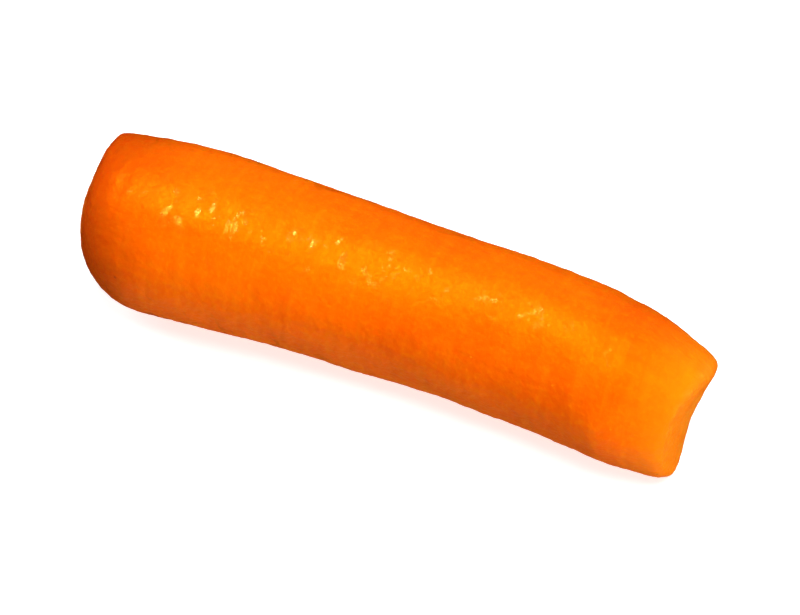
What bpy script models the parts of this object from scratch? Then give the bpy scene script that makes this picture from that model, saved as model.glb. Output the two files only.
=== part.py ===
# A baby-cut carrot: one peeled and tumbled length of carrot root, lying on its side.
#
# The root runs along X. Its crown end, at -X, is a blunt, slightly domed cut. Its tip end, at +X,
# is narrower and was chopped through, which left a shallow hollow. The root bows sideways, towards +Y.
# Metres, +Z up. The origin is under the middle of the carrot's box, on the surface that it lies on.

import math

import bmesh
import bpy
from mathutils import Vector

# Overall sizes
LENGTH = 0.0570  # crown face to tip face along the root, without the crown's dome
CROWN_DIAMETER = 0.0152  # at the crown face, before its edge is rounded
BELLY_DIAMETER = 0.0160  # the thickest place, near the crown
WAIST_DIAMETER = 0.0146  # about the middle, where it has slimmed down
SHOULDER_DIAMETER = 0.0144  # towards the tip, before the taper is taken off
TIP_DIAMETER = 0.0110  # at the tip face, before its edge is rounded
BELLY_PLACE = 0.14  # the places of the belly, the waist and the shoulder, as shares of the length
WAIST_PLACE = 0.49
SHOULDER_PLACE = 0.93
BEND_ANGLE = math.radians(15)  # the turn of the root from one end to the other
BEND_EVENNESS = -0.17  # the share of the bend that is even; below 0 the crown bows a little the other way

# Taper at the tip, where the shoulder draws in. It is fuller on one side of the root than on the other
TIP_TAPER = 0.0078  # its mean length
TIP_TAPER_CHANGE = 0.0020  # how much shorter, or longer, it is on its fullest side
TAPER_CURVE = 1.1  # 1 is a straight cone; higher draws in later and more suddenly
TAPER_CURVE_CHANGE = 0.2  # how much more, or less, suddenly it draws in on its fullest side
TAPER_FULL_SIDE = math.radians(215)  # where round the root that side is
TIP_SHIFT = 0.0006  # how far the tip moves away from that side

# Crown end
CROWN_DOME = 0.0006  # how far the middle of the crown face stands out
CROWN_EDGE = 0.0037  # the mean rounding of the crown's edge
CROWN_EDGE_CHANGE = 0.0032  # how much softer, or sharper, that edge is on its softest side
CROWN_SOFT_SIDE = math.radians(215)  # where round the root the edge is softest
CROWN_SLANT = math.radians(8)  # how far the crown's cut leans from square
CROWN_LOW_SIDE = math.radians(50)  # where round the root the slanted cut reaches in most

# Tip end
TIP_EDGE = 0.0007  # the rounding of the tip's edge
TIP_DISH = 0.0006  # how far the middle of the tip face is hollowed
TIP_SLANT = math.radians(14)  # how far the chop leans from square
TIP_LOW_SIDE = math.radians(65)  # where round the root the slanted chop is cut back most
TIP_SADDLE = 0.0017  # how much the chop dips between its two high sides
TIP_SADDLE_SIDE = math.radians(327)  # where round the root that dip meets the rim

CUT_REACH = 6  # the power with which both cuts' slants fade out along the root, behind their edges

# Underside
UNDERSIDE = math.radians(270)  # where round the root the surface is
CONTACT_DEPTH = 0.00016  # how much the flesh gives where the root rests on the surface

# The tumbling drum leaves soft flats: how many go round, their depth as a share of the radius,
# the place of the first one, and how far they turn round the root from end to end
SOFT_FLATS = (
    (2, 0.012, math.radians(25), math.radians(30)),
    (3, 0.009, math.radians(100), math.radians(-50)),
    (5, 0.005, math.radians(10), math.radians(60)),
)

QUARTER_TURN = math.radians(90)

# Fineness of the mesh
SIDES = 48
BODY_RINGS = 40
EDGE_RINGS = 6
FACE_RINGS = 4
AIM_STEP = 0.001  # the share of the length over which the centreline's direction is measured
SHARP_FROM = math.radians(50)  # edges that turn by more than this stay sharp

FLESH_COLOUR = (0.95, 0.17, 0.005, 1.0)
FLESH_ROUGHNESS = 0.4


def clear_scene():
    for item in list(bpy.data.objects):
        bpy.data.objects.remove(item, do_unlink=True)


def smooth_through(knots, place):
    """The value at a place on a smooth curve through (place, value) knots."""
    last = len(knots) - 1
    slopes = []
    for i in range(len(knots)):
        before, after = knots[max(i - 1, 0)], knots[min(i + 1, last)]
        slopes.append((after[1] - before[1]) / (after[0] - before[0]))
    i = 0
    while i < last - 1 and place > knots[i + 1][0]:
        i += 1
    (start, low), (end, high) = knots[i], knots[i + 1]
    gap = end - start
    t = min(max((place - start) / gap, 0.0), 1.0)
    rise = 3 * t**2 - 2 * t**3
    bend_in = gap * slopes[i] * (t**3 - 2 * t**2 + t)
    bend_out = gap * slopes[i + 1] * (t**3 - t**2)
    return low + (high - low) * rise + bend_in + bend_out


def mean_radius(along):
    """Half the root's thickness at a distance along it from the crown face, before the tip's taper."""
    knots = (
        (0.0, CROWN_DIAMETER / 2),
        (BELLY_PLACE * LENGTH, BELLY_DIAMETER / 2),
        (WAIST_PLACE * LENGTH, WAIST_DIAMETER / 2),
        (SHOULDER_PLACE * LENGTH, SHOULDER_DIAMETER / 2),
        (LENGTH, SHOULDER_DIAMETER / 2),
    )
    return smooth_through(knots, along)


def drawn_in(along, angle):
    """How far the root's side is drawn in by the taper at the tip."""
    fullness = math.cos(angle - TAPER_FULL_SIDE)
    taper = TIP_TAPER - TIP_TAPER_CHANGE * fullness
    into_taper = max(along - (LENGTH - taper), 0.0) / taper
    depth = (SHOULDER_DIAMETER - TIP_DIAMETER) / 2 + TIP_SHIFT * fullness
    return depth * into_taper ** (TAPER_CURVE + TAPER_CURVE_CHANGE * fullness)


def surface_radius(along, angle):
    """The radius with the soft flats. The angle goes round the root from its +Y side, upwards first."""
    share = along / LENGTH
    pressed_in = 0.0
    for count, depth, first, turn in SOFT_FLATS:
        pressed_in += depth * math.cos(count * (angle - first - turn * share))
    return (mean_radius(along) - drawn_in(along, angle)) * (1 - pressed_in)


def centre(along):
    """A point of the root's centreline. Its height keeps the whole underside on the surface."""
    u = along / LENGTH
    lean = BEND_EVENNESS / 2 + (1 - BEND_EVENNESS) / 3
    bow = LENGTH * BEND_ANGLE * (lean * u - BEND_EVENNESS * u**2 / 2 - (1 - BEND_EVENNESS) * u**3 / 3)
    height = surface_radius(along, UNDERSIDE) - CONTACT_DEPTH
    return Vector((along, bow, height))


def on_section(along, angle, radius, forward=0.0):
    """A point at that angle and radius in the section across the root, moved forward along the root."""
    step = LENGTH * AIM_STEP
    ahead = (centre(along + step) - centre(along - step)).normalized()
    side = Vector((0, 0, 1)).cross(ahead).normalized()
    up = ahead.cross(side)
    outward = side * math.cos(angle) + up * math.sin(angle)
    return centre(along) + outward * radius + ahead * forward


def crown_edge(angle):
    return CROWN_EDGE + CROWN_EDGE_CHANGE * math.cos(angle - CROWN_SOFT_SIDE)


def crown_set_back(angle, radius):
    """How far the crown's cut lies behind a square cut, for its slant."""
    return math.tan(CROWN_SLANT) * radius * math.cos(angle - CROWN_LOW_SIDE)


def crown_ring(angle, turn):
    """A point of the crown's rounded edge: turn 0 is on the side of the root, turn 1 is on the face."""
    edge = crown_edge(angle)
    swing = QUARTER_TURN * turn
    along = edge * (1 - math.sin(swing))
    radius = surface_radius(along, angle) - edge * (1 - math.cos(swing))
    return on_section(along, angle, radius, crown_set_back(angle, radius))


def crown_face(angle, share):
    """A point of the domed crown face, at a share of the way from its middle to its rim."""
    radius = (surface_radius(0.0, angle) - crown_edge(angle)) * share
    dome = CROWN_DOME * (1 - share**2)
    return on_section(0.0, angle, radius, crown_set_back(angle, radius) - dome)


def tip_set_back(angle, radius):
    """How far the chopped end lies behind a square cut, for its slant and its saddle."""
    slant = math.tan(TIP_SLANT) * radius * math.cos(angle - TIP_LOW_SIDE)
    saddle = TIP_SADDLE * (radius / (TIP_DIAMETER / 2)) ** 2 * math.cos(angle - TIP_SADDLE_SIDE) ** 2
    return slant + saddle


def tip_ring(angle, turn):
    """A point of the tip's rounded edge: turn 0 is on the side of the root, turn 1 is on the face."""
    swing = QUARTER_TURN * turn
    along = LENGTH - TIP_EDGE * (1 - math.sin(swing))
    radius = surface_radius(along, angle) - TIP_EDGE * (1 - math.cos(swing))
    return on_section(along, angle, radius, -tip_set_back(angle, radius))


def tip_face(angle, share):
    """A point of the hollowed tip face, at a share of the way from its middle to its rim."""
    radius = (surface_radius(LENGTH, angle) - TIP_EDGE) * share
    dish = TIP_DISH * (1 - share**2)
    return on_section(LENGTH, angle, radius, -tip_set_back(angle, radius) - dish)


def body_point(angle, share):
    """A point on the side of the root, at a share of the way from the crown's edge to the tip's edge."""
    start, end = crown_edge(angle), LENGTH - TIP_EDGE
    along = start + (end - start) * share
    at_crown = crown_set_back(angle, surface_radius(start, angle)) * (1 - share) ** CUT_REACH
    at_tip = tip_set_back(angle, surface_radius(end, angle)) * share**CUT_REACH
    return on_section(along, angle, surface_radius(along, angle), at_crown - at_tip)


def ring_plan():
    """Each ring from the crown's middle to the tip's middle, as a function of the angle."""
    plan = []
    for i in range(1, FACE_RINGS):
        plan.append(lambda angle, share=i / FACE_RINGS: crown_face(angle, share))
    for i in range(EDGE_RINGS):
        plan.append(lambda angle, turn=1 - i / EDGE_RINGS: crown_ring(angle, turn))
    for i in range(BODY_RINGS + 1):
        plan.append(lambda angle, share=i / BODY_RINGS: body_point(angle, share))
    for i in range(1, EDGE_RINGS + 1):
        plan.append(lambda angle, turn=i / EDGE_RINGS: tip_ring(angle, turn))
    for i in range(1, FACE_RINGS):
        plan.append(lambda angle, share=1 - i / FACE_RINGS: tip_face(angle, share))
    return plan


def skin_rings(mesh, rings, crown_middle, tip_middle):
    """Faces between neighbouring rings, and a fan over each end. All of them point outwards."""
    for i in range(SIDES):
        j = (i + 1) % SIDES
        mesh.faces.new((crown_middle, rings[0][j], rings[0][i]))
        mesh.faces.new((tip_middle, rings[-1][i], rings[-1][j]))
        for near, far in zip(rings, rings[1:]):
            mesh.faces.new((near[i], near[j], far[j], far[i]))


def flatten_underside(mesh):
    """Cuts the root off at the surface that it rests on, and closes the cut with one flat face."""
    everything = mesh.verts[:] + mesh.edges[:] + mesh.faces[:]
    cut = bmesh.ops.bisect_plane(
        mesh, geom=everything, plane_co=(0, 0, 0), plane_no=(0, 0, -1), clear_outer=True
    )
    rim = [item for item in cut["geom_cut"] if isinstance(item, bmesh.types.BMEdge)]
    bmesh.ops.holes_fill(mesh, edges=rim, sides=0)


def centre_on_box(mesh):
    """Puts the origin under the middle of the box. The underside is at height 0 already."""
    middle = [0.0, 0.0]
    for axis in (0, 1):
        places = [vertex.co[axis] for vertex in mesh.verts]
        middle[axis] = (min(places) + max(places)) / 2
    bmesh.ops.translate(mesh, verts=mesh.verts, vec=(-middle[0], -middle[1], 0))


def flesh_material():
    material = bpy.data.materials.new("carrot_flesh")
    material.use_nodes = True
    shader = material.node_tree.nodes["Principled BSDF"]
    shader.inputs["Base Color"].default_value = FLESH_COLOUR
    shader.inputs["Roughness"].default_value = FLESH_ROUGHNESS
    shader.inputs["Metallic"].default_value = 0.0
    return material


def make_carrot():
    mesh = bmesh.new()
    angles = [math.tau * i / SIDES for i in range(SIDES)]
    rings = [[mesh.verts.new(point(angle)) for angle in angles] for point in ring_plan()]
    crown_middle = mesh.verts.new(crown_face(0.0, 0.0))
    tip_middle = mesh.verts.new(tip_face(0.0, 0.0))
    skin_rings(mesh, rings, crown_middle, tip_middle)
    flatten_underside(mesh)
    centre_on_box(mesh)
    bmesh.ops.recalc_face_normals(mesh, faces=mesh.faces)
    data = bpy.data.meshes.new("carrot")
    mesh.to_mesh(data)
    mesh.free()
    data.shade_smooth()
    data.set_sharp_from_angle(angle=SHARP_FROM)
    data.materials.append(flesh_material())
    carrot = bpy.data.objects.new("carrot", data)
    bpy.context.scene.collection.objects.link(carrot)
    return carrot


clear_scene()
make_carrot()
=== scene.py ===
# One wet, peeled baby-cut carrot, lying on its side on a white table.

import math

import bmesh
import bpy
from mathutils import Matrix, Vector


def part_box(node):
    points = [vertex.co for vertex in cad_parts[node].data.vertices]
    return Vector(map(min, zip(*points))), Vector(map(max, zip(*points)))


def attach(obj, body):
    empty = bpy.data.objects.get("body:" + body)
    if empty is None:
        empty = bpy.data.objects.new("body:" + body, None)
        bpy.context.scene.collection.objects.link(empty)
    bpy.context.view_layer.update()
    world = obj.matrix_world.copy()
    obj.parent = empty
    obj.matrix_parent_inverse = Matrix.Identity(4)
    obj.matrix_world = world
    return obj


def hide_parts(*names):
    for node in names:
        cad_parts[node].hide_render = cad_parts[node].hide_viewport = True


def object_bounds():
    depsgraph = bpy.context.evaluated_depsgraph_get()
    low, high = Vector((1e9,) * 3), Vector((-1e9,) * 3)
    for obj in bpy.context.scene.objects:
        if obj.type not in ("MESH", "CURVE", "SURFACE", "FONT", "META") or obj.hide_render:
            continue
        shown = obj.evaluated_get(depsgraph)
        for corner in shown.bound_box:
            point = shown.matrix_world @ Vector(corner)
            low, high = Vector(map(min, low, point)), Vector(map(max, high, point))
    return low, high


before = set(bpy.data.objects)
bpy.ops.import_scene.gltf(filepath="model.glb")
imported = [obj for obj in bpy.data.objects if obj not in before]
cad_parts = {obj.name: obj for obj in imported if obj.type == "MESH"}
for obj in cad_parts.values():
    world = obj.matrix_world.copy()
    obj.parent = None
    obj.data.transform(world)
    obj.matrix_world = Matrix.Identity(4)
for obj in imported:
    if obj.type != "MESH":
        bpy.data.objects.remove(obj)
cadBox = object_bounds()
mm = 0.001


def deselectAll():
    for item in bpy.context.selected_objects:
        item.select_set(False)


def editSelect(piece, kind, wanted):
    # in edit mode, selects the wanted verts, edges or faces and nothing else
    bpy.ops.mesh.select_mode(type=kind)
    bpy.ops.mesh.select_all(action="DESELECT")
    mesh = bmesh.from_edit_mesh(piece.data)
    items = {"VERT": mesh.verts, "EDGE": mesh.edges, "FACE": mesh.faces}[kind]
    for item in items:
        if wanted(item):
            item.select_set(True)
    mesh.select_flush_mode()
    bmesh.update_edit_mesh(piece.data)


def applyModifier(piece, kind, **settings):
    modifier = piece.modifiers.new(kind.lower(), kind)
    for name, value in settings.items():
        setattr(modifier, name, value)
    bpy.ops.object.modifier_apply(modifier=modifier.name)


def fromHex(text):
    # an sRGB hex colour as the linear colour that the nodes work in
    channels = [int(text[i:i + 2], 16) / 255 for i in (1, 3, 5)]
    return [c / 12.92 if c <= 0.04045 else ((c + 0.055) / 1.055) ** 2.4 for c in channels] + [1.0]


def addNode(tree, kind, inputs={}, output=0, **settings):
    # adds a node, sets its options, sets or links each input, and gives back one of its outputs
    node = tree.nodes.new("ShaderNode" + kind)
    for name, value in settings.items():
        setattr(node, name, value)
    for name, value in inputs.items():
        if isinstance(value, bpy.types.NodeSocket):
            tree.links.new(value, node.inputs[name])
        else:
            node.inputs[name].default_value = value
    return node.outputs[output]


cameraSettings = {
    "azimuth": 23.2,  # degrees, round from straight in front towards the tip
    "elevation": 50,
    "distance": 0.39,
    "lens": 200,
    "aim": (0.0006, 0.0, 0.0072),
    "sightFrom": 0.01,
    "sightTo": 50,
}


def makeCamera():
    s = cameraSettings
    turn = math.radians(s["azimuth"])
    rise = math.radians(s["elevation"])
    back = Vector((math.sin(turn) * math.cos(rise), -math.cos(turn) * math.cos(rise), math.sin(rise)))
    data = bpy.data.cameras.new("camera")
    data.lens = s["lens"]
    data.clip_start = s["sightFrom"]
    data.clip_end = s["sightTo"]
    camera = bpy.data.objects.new("camera", data)
    bpy.context.scene.collection.objects.link(camera)
    camera.location = Vector(s["aim"]) + back * s["distance"]
    camera.rotation_euler = back.to_track_quat("Z", "Y").to_euler()
    bpy.context.scene.camera = camera
    print("camera in place")


carrotSettings = {
    "sides": 60,
    "rings": 66,
    "startRadius": 7.2 * mm,
    "rimWidth": 1.0 * mm,  # how far the rounded rim reaches in on the first, straight cylinder
    "rimSteps": 4,
    "faceRings": 5,
    "sectionReach": 0.9 * mm,  # how much of the solid, each side of a place, its section is read from
    "endReach": 2.2 * mm,  # nearer to an end than this, the section at this place is used
    "evening": 3,  # rounds of smoothing that even out the mesh between two wraps
    "eveningForce": 0.5,
    "subdivisions": 2,
    "squareOn": 0.99,  # a face is part of a flat end when its normal lies along x by this much
    "samePlace": 0.01 * mm,
    # relief, each as the size of a mark, how deep it is and how it is stretched along x, y, z
    "relief": {
        "drumDents": (6.0 * mm, 0.30 * mm, (1.6, 1, 1)),
        "softLumps": (1.7 * mm, 0.10 * mm, (1, 1, 1)),
        "cuttingMarks": (0.8 * mm, 0.06 * mm, (1, 7, 7)),
        "millGrain": (0.45 * mm, 0.07 * mm, (1, 1, 1)),
    },
    # the skin laid out flat on a sheet one unit wide and high
    "skinScale": 15.2,  # units for each metre of skin
    "skinMargin": 0.012,
    "sideHeight": 0.73,
    "discHeight": 0.88,
    "discPlaces": (0.12, 0.36),  # crown, tip
}


def carrotSection(points, x):
    # middle and half thickness of the solid where it crosses x
    near = [p for p in points if abs(p.x - x) < carrotSettings["sectionReach"]]
    ys = [p.y for p in near]
    zs = [p.z for p in near]
    middle = Vector((x, (min(ys) + max(ys)) / 2, (min(zs) + max(zs)) / 2))
    return middle, (max(ys) - min(ys)) / 2, (max(zs) - min(zs)) / 2


def straightCarrot(low, high):
    # a cylinder along x, with rounded rims, closed ends and rings along it
    s = carrotSettings
    length = high.x - low.x
    deselectAll()
    bpy.ops.mesh.primitive_cylinder_add(
        vertices=s["sides"], radius=s["startRadius"], depth=length, rotation=(0, math.pi / 2, 0)
    )
    carrot = bpy.context.object
    carrot.name = "carrotFlesh"
    bpy.ops.object.transform_apply(location=True, rotation=True, scale=True)
    bpy.ops.object.mode_set(mode="EDIT")
    editSelect(carrot, "EDGE", lambda edge: abs(edge.verts[0].co.x - edge.verts[1].co.x) < mm)
    bpy.ops.mesh.bevel(offset=s["rimWidth"], segments=s["rimSteps"], profile=0.5, affect="EDGES")
    editSelect(carrot, "FACE", lambda face: abs(face.normal.x) > s["squareOn"])
    step = (s["startRadius"] - s["rimWidth"]) / (s["faceRings"] + 1)
    for ring in range(s["faceRings"]):
        bpy.ops.mesh.inset(thickness=step, use_individual=True)
    bpy.ops.mesh.poke()
    editSelect(carrot, "EDGE", lambda edge: abs(edge.verts[0].co.x - edge.verts[1].co.x) > length / 2)
    bpy.ops.mesh.subdivide(number_cuts=s["rings"])
    bpy.ops.object.mode_set(mode="OBJECT")
    return carrot


def rememberRootSpace(carrot):
    # keeps each point's place on the straight root, so that the flesh's patterns follow the bow
    places = carrot.data.attributes.new("rootSpace", "FLOAT_VECTOR", "POINT")
    for i, vertex in enumerate(carrot.data.vertices):
        places.data[i].vector = vertex.co


def layOutSkin(carrot):
    # the side unrolled as one strip, split underneath, and the two ends as discs above it
    s = carrotSettings
    mesh = carrot.data
    for layer in list(mesh.uv_layers):
        mesh.uv_layers.remove(layer)
    skin = mesh.uv_layers.new(name="OFBake")
    perMetre = s["skinScale"]
    half = max(vertex.co.x for vertex in mesh.vertices)
    for face in mesh.polygons:
        middle = face.center
        onEnd = abs(face.normal.x) > s["squareOn"]
        middleTurn = math.atan2(middle.y, middle.z)
        for index in face.loop_indices:
            co = mesh.vertices[mesh.loops[index].vertex_index].co
            if onEnd:
                u = s["discPlaces"][co.x > 0] + co.y * perMetre
                v = s["discHeight"] + co.z * perMetre
            else:
                inward = math.copysign(s["startRadius"] - math.hypot(co.y, co.z), co.x)
                u = s["skinMargin"] + (co.x + half + inward + s["rimWidth"]) * perMetre
                turn = math.atan2(co.y, co.z)
                turn += math.tau * round((middleTurn - turn) / math.tau)
                v = s["skinMargin"] + (turn / math.tau + 0.5) * s["sideHeight"]
            skin.data[index].uv = (u, v)
    print("skin laid out:", len(mesh.polygons), "faces")


def bowCarrot(carrot, points, low, high):
    # moves and sizes ring after ring to the solid's own sections
    s = carrotSettings
    bpy.ops.object.mode_set(mode="EDIT")
    places = sorted({round(v.co.x, 6) for v in bmesh.from_edit_mesh(carrot.data).verts})
    for x in places:
        inside = min(max(x, low.x + s["endReach"]), high.x - s["endReach"])
        middle, halfY, halfZ = carrotSection(points, inside)
        editSelect(carrot, "VERT", lambda vertex: abs(vertex.co.x - x) < s["samePlace"])
        scale = (halfY + halfZ) / 2 / s["startRadius"]
        bpy.ops.transform.resize(value=(1, scale, scale), center_override=(x, 0, 0))
        bpy.ops.transform.translate(value=(0, middle.y, middle.z))
    bpy.ops.object.mode_set(mode="OBJECT")


def addRelief(carrot):
    # dents from the tumbling drum down to the milled grain, pushed into the mesh itself
    for name, (size, depth, stretch) in carrotSettings["relief"].items():
        texture = bpy.data.textures.new(name, "CLOUDS")
        texture.noise_scale = size
        texture.noise_depth = 1
        guide = bpy.data.objects.new(name, None)
        bpy.context.scene.collection.objects.link(guide)
        guide.scale = stretch
        bpy.context.view_layer.update()
        applyModifier(
            carrot, "DISPLACE", texture=texture, texture_coords="OBJECT", texture_coords_object=guide,
            strength=depth, mid_level=0.5,
        )
        bpy.data.objects.remove(guide)
        bpy.data.textures.remove(texture)


def makeCarrot():
    s = carrotSettings
    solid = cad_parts["carrot"]
    low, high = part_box("carrot")
    points = [vertex.co.copy() for vertex in solid.data.vertices]
    carrot = straightCarrot(low, high)
    rememberRootSpace(carrot)
    layOutSkin(carrot)
    bowCarrot(carrot, points, low, high)
    applyModifier(carrot, "SHRINKWRAP", target=solid, wrap_method="NEAREST_SURFACEPOINT")
    applyModifier(carrot, "SMOOTH", factor=s["eveningForce"], iterations=s["evening"])
    applyModifier(carrot, "SHRINKWRAP", target=solid, wrap_method="NEAREST_SURFACEPOINT")
    applyModifier(carrot, "SUBSURF", levels=s["subdivisions"], render_levels=s["subdivisions"])
    addRelief(carrot)
    bpy.ops.object.mode_set(mode="EDIT")
    editSelect(carrot, "VERT", lambda vertex: vertex.co.z < 0)
    bpy.ops.transform.resize(value=(1, 1, 0), center_override=(0, 0, 0))  # pressed flat on the table
    bpy.ops.object.mode_set(mode="OBJECT")
    bpy.ops.object.shade_smooth()
    print("carrot shaped:", len(carrot.data.polygons), "faces")
    return carrot


fleshSettings = {
    "flesh": "#F56600",
    # drawn over the flesh: size along and round the root in mm, where the pattern starts and is full,
    # its colour and how strongly it shows; real cells are finer than the grain, which is drawn to show
    "patterns": {
        "blotches": (12, 9, 0.45, 0.68, "#E34A02", 0.40),
        "veins": (20, 1.3, 0.50, 0.75, "#DC4602", 0.22),
        "cuttingRings": (0.9, 8, 0.52, 0.74, "#FB8D06", 0.18),
        "mottling": (1.4, 1.4, 0.50, 0.72, "#FA8605", 0.16),
        "grain": (0.40, 0.40, 0.50, 0.75, "#FF9C0A", 0.14),
    },
    "patternShift": 7.3,  # moves each pattern on from the one before, in its own sizes
    # small spots: spacing in mm, size as a share of it, share of places that have one, colour, strength
    "spots": {
        "paleSpecks": (1.9, 0.09, 0.13, "#FFA828", 0.32),
        "rootScars": (4.5, 0.05, 0.35, "#9A3402", 0.70),
    },
    "spotShift": (0.1, 0.03),  # moves each kind of spot on from the one before, and all of them sideways
    "spotEdge": 0.6,  # share of a spot that has its full strength
    # painted shade and light that fade in towards an end: painted shade darkens the crown end and
    # painted light brightens the tip end; which end, how far they reach, colour, strength
    "endShadeAndLight": {
        "crownPaintedShade": (-1, 12.0 * mm, "#C44000", 0.9),
        "tipPaintedLight": (1, 7.0 * mm, "#FF920C", 0.5),
    },
    # the two cut faces: colour and strength of the whole face and of what is drawn on it
    "cut": {
        "face": ("#FF7E12", 0.55),
        "rays": ("#FF9426", 0.28),
        "core": ("#FF8E20", 0.42),
        "ring": ("#F0700A", 0.40),
    },
    "cutFade": (1.0 * mm, 0.05 * mm),  # how far in from the end the cut's colour starts and is full
    "rays": 9,  # how finely the rays divide the circle
    "rayEdge": (0.42, 0.62),  # how sharply a ray begins
    "coreRadius": 2.6 * mm,
    "coreWander": (1.0 * mm, 1.6 * mm),  # how far the core's edge strays, and how long its waves are
    "coreBlur": 0.5 * mm,
    "ringWidth": 0.45 * mm,
    "roughness": (0.36, 0.52),  # in the grain's hollows, and on its tops
    "grainSpread": (0.35, 0.65),
    "filmPatch": 1.6 * mm,  # size of a patch of water
    "filmEdge": (0.56, 0.64),  # how sharply a patch of water begins
    "filmMost": 0.9,
    "filmEnd": (-12 * mm, 6 * mm),  # the water thins out from here to there, towards the tip
    "filmLeft": 0.2,  # share of the water that is left past there
    "grainSize": 0.28 * mm,
    "grainHeight": 0.035 * mm,
    "rippleSize": 0.80 * mm,
    "rippleHeight": 0.06 * mm,
}


def drawPatterns(tree, root):
    s = fleshSettings
    layers = []
    for i, look in enumerate(s["patterns"].values()):
        lengthwise, across, start, full, tint, strength = look
        scale = (1 / (lengthwise * mm), 1 / (across * mm), 1 / (across * mm))
        shift = (s["patternShift"] * i, 0, 0)
        placed = addNode(tree, "Mapping", {"Vector": root, "Scale": scale, "Location": shift})
        noise = addNode(tree, "TexNoise", {"Vector": placed, "Scale": 1.0, "Detail": 2.0})
        layers.append((addNode(tree, "MapRange", {0: noise, 1: start, 2: full, 4: strength}), tint))
    return layers


def drawSpots(tree, root):
    s = fleshSettings
    onward, sideways = s["spotShift"]
    layers = []
    for i, look in enumerate(s["spots"].values()):
        spacing, size, share, tint, strength = look
        placed = addNode(tree, "Mapping", {"Vector": root, "Location": (onward * i, sideways, 0)})
        distance = addNode(tree, "TexVoronoi", {"Vector": placed, "Scale": 1 / (spacing * mm)})
        dot = addNode(tree, "MapRange", {0: distance, 1: size, 2: size * s["spotEdge"], 4: strength})
        chance = addNode(tree, "SeparateXYZ", {0: distance.node.outputs["Color"]})
        chosen = addNode(tree, "Math", {0: chance, 1: share}, operation="LESS_THAN")
        layers.append((addNode(tree, "Math", {0: dot, 1: chosen}, operation="MULTIPLY"), tint))
    return layers


def paintEndShadeAndLight(tree, along, half):
    # painted shade darkening the crown end and painted light brightening the tip end, drawn into the
    # colour
    layers = []
    for side, reach, tint, strength in fleshSettings["endShadeAndLight"].values():
        end = side * half
        fade = {0: along, 1: end - side * reach, 2: end, 4: strength}
        layers.append((addNode(tree, "MapRange", fade, interpolation_type="SMOOTHSTEP"), tint))
    return layers


def drawCutFaces(tree, root, along, half):
    # a little paler than the side, with rays round a core inside a thin ring
    s = fleshSettings
    outward = addNode(tree, "Math", {0: along}, operation="ABSOLUTE")
    fade = {0: outward, 1: half - s["cutFade"][0], 2: half - s["cutFade"][1]}
    onCut = addNode(tree, "MapRange", fade, interpolation_type="SMOOTHSTEP")
    across = addNode(tree, "VectorMath", {0: root, 1: (0, 1, 1)}, operation="MULTIPLY")
    fromMiddle = addNode(tree, "VectorMath", {0: across}, output="Value", operation="LENGTH")
    rayway = addNode(tree, "VectorMath", {0: across}, operation="NORMALIZE")
    rayNoise = addNode(tree, "TexNoise", {"Vector": rayway, "Scale": s["rays"], "Detail": 2.0})
    stray, wave = s["coreWander"]
    wander = addNode(tree, "TexNoise", {"Vector": root, "Scale": 1 / wave, "Detail": 2.0})
    uneven = addNode(tree, "Math", {0: wander, 1: stray, 2: fromMiddle}, operation="MULTIPLY_ADD")
    inner = s["coreRadius"] + stray / 2 - s["coreBlur"]
    outer = s["coreRadius"] + stray / 2 + s["coreBlur"]
    ringGap = addNode(tree, "Math", {0: uneven, 1: outer}, operation="SUBTRACT")
    ringFar = addNode(tree, "Math", {0: ringGap}, operation="ABSOLUTE")
    drawn = {
        "face": 1.0,
        "rays": addNode(tree, "MapRange", {0: rayNoise, 1: s["rayEdge"][0], 2: s["rayEdge"][1]}),
        "core": addNode(tree, "MapRange", {0: uneven, 1: outer, 2: inner}),
        "ring": addNode(tree, "MapRange", {0: ringFar, 1: s["ringWidth"], 2: 0.0}),
    }
    layers = []
    for name, (tint, strength) in s["cut"].items():
        share = addNode(tree, "Math", {0: onCut, 1: strength}, operation="MULTIPLY")
        layers.append((addNode(tree, "Math", {0: share, 1: drawn[name]}, operation="MULTIPLY"), tint))
    return layers


def spreadWater(tree, root, along):
    # a broken film of water, which thins out towards the tip
    s = fleshSettings
    patching = {"Vector": root, "Scale": 1 / s["filmPatch"], "Detail": 3.0, "Distortion": 1.0}
    patches = addNode(tree, "TexNoise", patching)
    start, full = s["filmEdge"]
    wet = addNode(tree, "MapRange", {0: patches, 1: start, 2: full, 4: s["filmMost"]})
    thinning = {0: along, 1: s["filmEnd"][0], 2: s["filmEnd"][1], 3: 1.0, 4: s["filmLeft"]}
    drying = addNode(tree, "MapRange", thinning)
    return addNode(tree, "Math", {0: wet, 1: drying}, operation="MULTIPLY")


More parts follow.
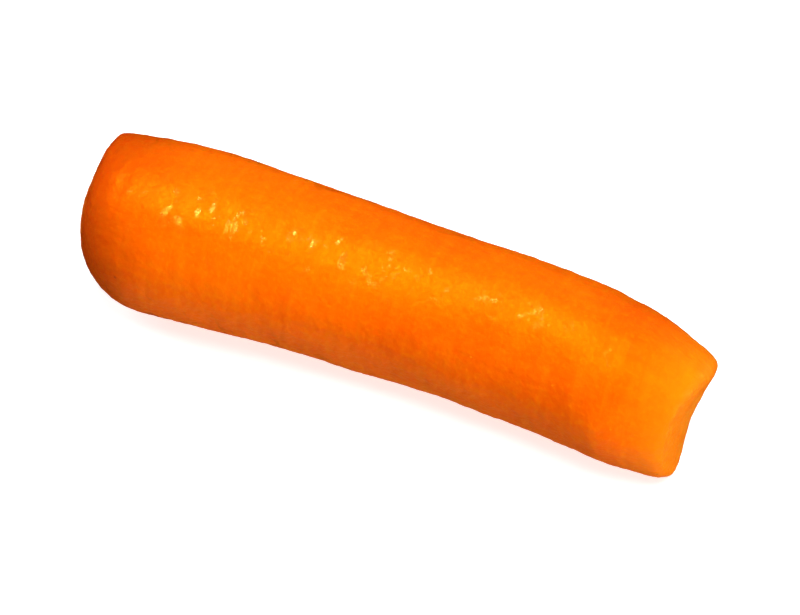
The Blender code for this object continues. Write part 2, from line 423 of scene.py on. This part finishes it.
def peeledCarrotFlesh(half):
    # peeled carrot root, milled and wet: a deep orange that glows a little, with small sharp glints
    s = fleshSettings
    material = bpy.data.materials.new("peeledCarrotFlesh")
    material.use_nodes = True
    tree = material.node_tree
    shader = tree.nodes["Principled BSDF"]
    root = addNode(tree, "Attribute", output="Vector", attribute_name="rootSpace")
    along = addNode(tree, "SeparateXYZ", {0: root})
    # the end layers are painted shade at the crown end and painted light at the tip end
    layers = drawPatterns(tree, root) + drawSpots(tree, root) + paintEndShadeAndLight(tree, along, half)
    layers += drawCutFaces(tree, root, along, half)
    colour = fromHex(s["flesh"])
    for mask, tint in layers:
        colour = addNode(tree, "Mix", {0: mask, 6: colour, 7: fromHex(tint)}, output=2, data_type="RGBA")
    milled = {"Vector": root, "Scale": 1 / s["grainSize"], "Detail": 2.0}
    grain = addNode(tree, "TexNoise", milled)
    rippling = {"Vector": root, "Scale": 1 / s["rippleSize"], "Detail": 3.0, "Distortion": 0.6}
    ripple = addNode(tree, "TexNoise", rippling)
    rippled = addNode(tree, "Bump", {"Height": ripple, "Distance": s["rippleHeight"]})
    grained = addNode(tree, "Bump", {"Height": grain, "Distance": s["grainHeight"], "Normal": rippled})
    low, high = s["grainSpread"]
    smooth, coarse = s["roughness"]
    for name, value in {
        "Base Color": colour,
        "Roughness": addNode(tree, "MapRange", {0: grain, 1: low, 2: high, 3: smooth, 4: coarse}),
        "Normal": grained,
        "Coat Weight": spreadWater(tree, root, along),
        "Coat Normal": rippled,
    }.items():
        tree.links.new(value, shader.inputs[name])
    for name, value in {
        "IOR": 1.36,  # flesh full of water
        "Specular IOR Level": 0.5,
        "Specular Tint": fromHex("#FFC428"),
        "Subsurface Weight": 0.45,
        "Subsurface Radius": (1.0, 0.30, 0.05),
        "Subsurface Scale": 1.5 * mm,
        "Coat Roughness": 0.17,
        "Coat IOR": 1.33,  # water
    }.items():
        shader.inputs[name].default_value = value
    print("flesh made with", len(layers), "layers of colour")
    return material


studioSettings = {
    "tableSize": 1.0,
    "table": "#E4E4E4",
    "tableWhite": 0.64,  # a little light of its own keeps the shadow soft and pale
    "roomLight": 0.18,
    "lightAim": 7 * mm,  # height of the point that the lights face
    # each light: direction it comes from, distance, length and width, power in watts, colour,
    # and whether it makes gloss or lights the colour
    "lights": {
        "broadLight": ((0.22, -0.10, 0.97), 0.80, (0.60, 0.60), 7.5, "#FFFFFF", "colour"),
        "tipLight": ((0.97, -0.22, 0.12), 0.70, (0.30, 0.20), 3.1, "#FFFFFF", "colour"),
        "crownLight": ((-0.86, 0.20, 0.46), 0.80, (0.50, 0.50), 3.0, "#FFFFFF", "colour"),
        "tableGlow": ((0.15, -0.30, -0.95), 0.60, (0.90, 0.90), 2.4, "#FFFFFF", "colour"),
        "frontLight": ((0.25, -0.95, 0.22), 0.80, (0.60, 0.20), 1.5, "#FFFFFF", "colour"),
        "sheenLight": ((-0.25, -0.10, 0.97), 0.70, (0.60, 0.20), 10.0, "#FFD048", "gloss"),
        "glintLight": ((-0.29, 0.16, 0.945), 0.60, (0.06, 0.05), 2.6, "#FFDC70", "gloss"),
    },
}


def mattWhiteCard():
    # matt white card: bright and even, with no gloss, so that the shadow on it is soft and pale
    material = bpy.data.materials.new("mattWhiteCard")
    material.use_nodes = True
    shader = material.node_tree.nodes["Principled BSDF"]
    for name, value in {
        "Base Color": fromHex(studioSettings["table"]),
        "Roughness": 0.9,
        "Specular IOR Level": 0.0,
        "Emission Color": fromHex("#FFFFFF"),
        "Emission Strength": studioSettings["tableWhite"],
    }.items():
        shader.inputs[name].default_value = value
    return material


def makeTable():
    deselectAll()
    bpy.ops.mesh.primitive_plane_add(size=studioSettings["tableSize"])
    table = bpy.context.object
    table.name = "tableTop"
    table.visible_glossy = False
    table.visible_diffuse = False  # the white it sends back comes from tableGlow instead
    table.visible_shadow = False  # lets tableGlow shine up through it
    table.data.materials.append(mattWhiteCard())
    print("table in place")


def makeLights():
    for name, (direction, distance, size, power, tint, purpose) in studioSettings["lights"].items():
        data = bpy.data.lights.new(name, "AREA")
        data.shape = "ELLIPSE"
        data.size, data.size_y = size
        data.energy = power
        data.color = fromHex(tint)[:3]
        light = bpy.data.objects.new(name, data)
        bpy.context.scene.collection.objects.link(light)
        toLight = Vector(direction).normalized()
        light.location = Vector((0, 0, studioSettings["lightAim"])) + toLight * distance
        light.rotation_euler = toLight.to_track_quat("Z", "Y").to_euler()
        light.visible_glossy = purpose == "gloss"
        light.visible_diffuse = purpose == "colour"
        light.visible_transmission = purpose == "colour"
    print("lights in place:", len(studioSettings["lights"]))


def makeRoom():
    # the room is white to look at, and lights the carrot softly
    world = bpy.data.worlds.new("whiteRoom")
    world.use_nodes = True
    tree = world.node_tree
    background = tree.nodes["Background"]
    seen = addNode(tree, "LightPath", output="Is Camera Ray")
    strength = addNode(tree, "MapRange", {0: seen, 3: studioSettings["roomLight"], 4: 1.0})
    tree.links.new(strength, background.inputs["Strength"])
    background.inputs["Color"].default_value = fromHex("#FFFFFF")
    world.cycles_visibility.glossy = False
    bpy.context.scene.world = world
    bpy.context.scene.view_settings.view_transform = "Standard"
    print("room in place")


makeCamera()
carrot = makeCarrot()
carrot.data.materials.append(peeledCarrotFlesh(max(abs(cadBox[0].x), cadBox[1].x)))
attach(carrot, "root")
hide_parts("carrot")
makeTable()
makeLights()
makeRoom()
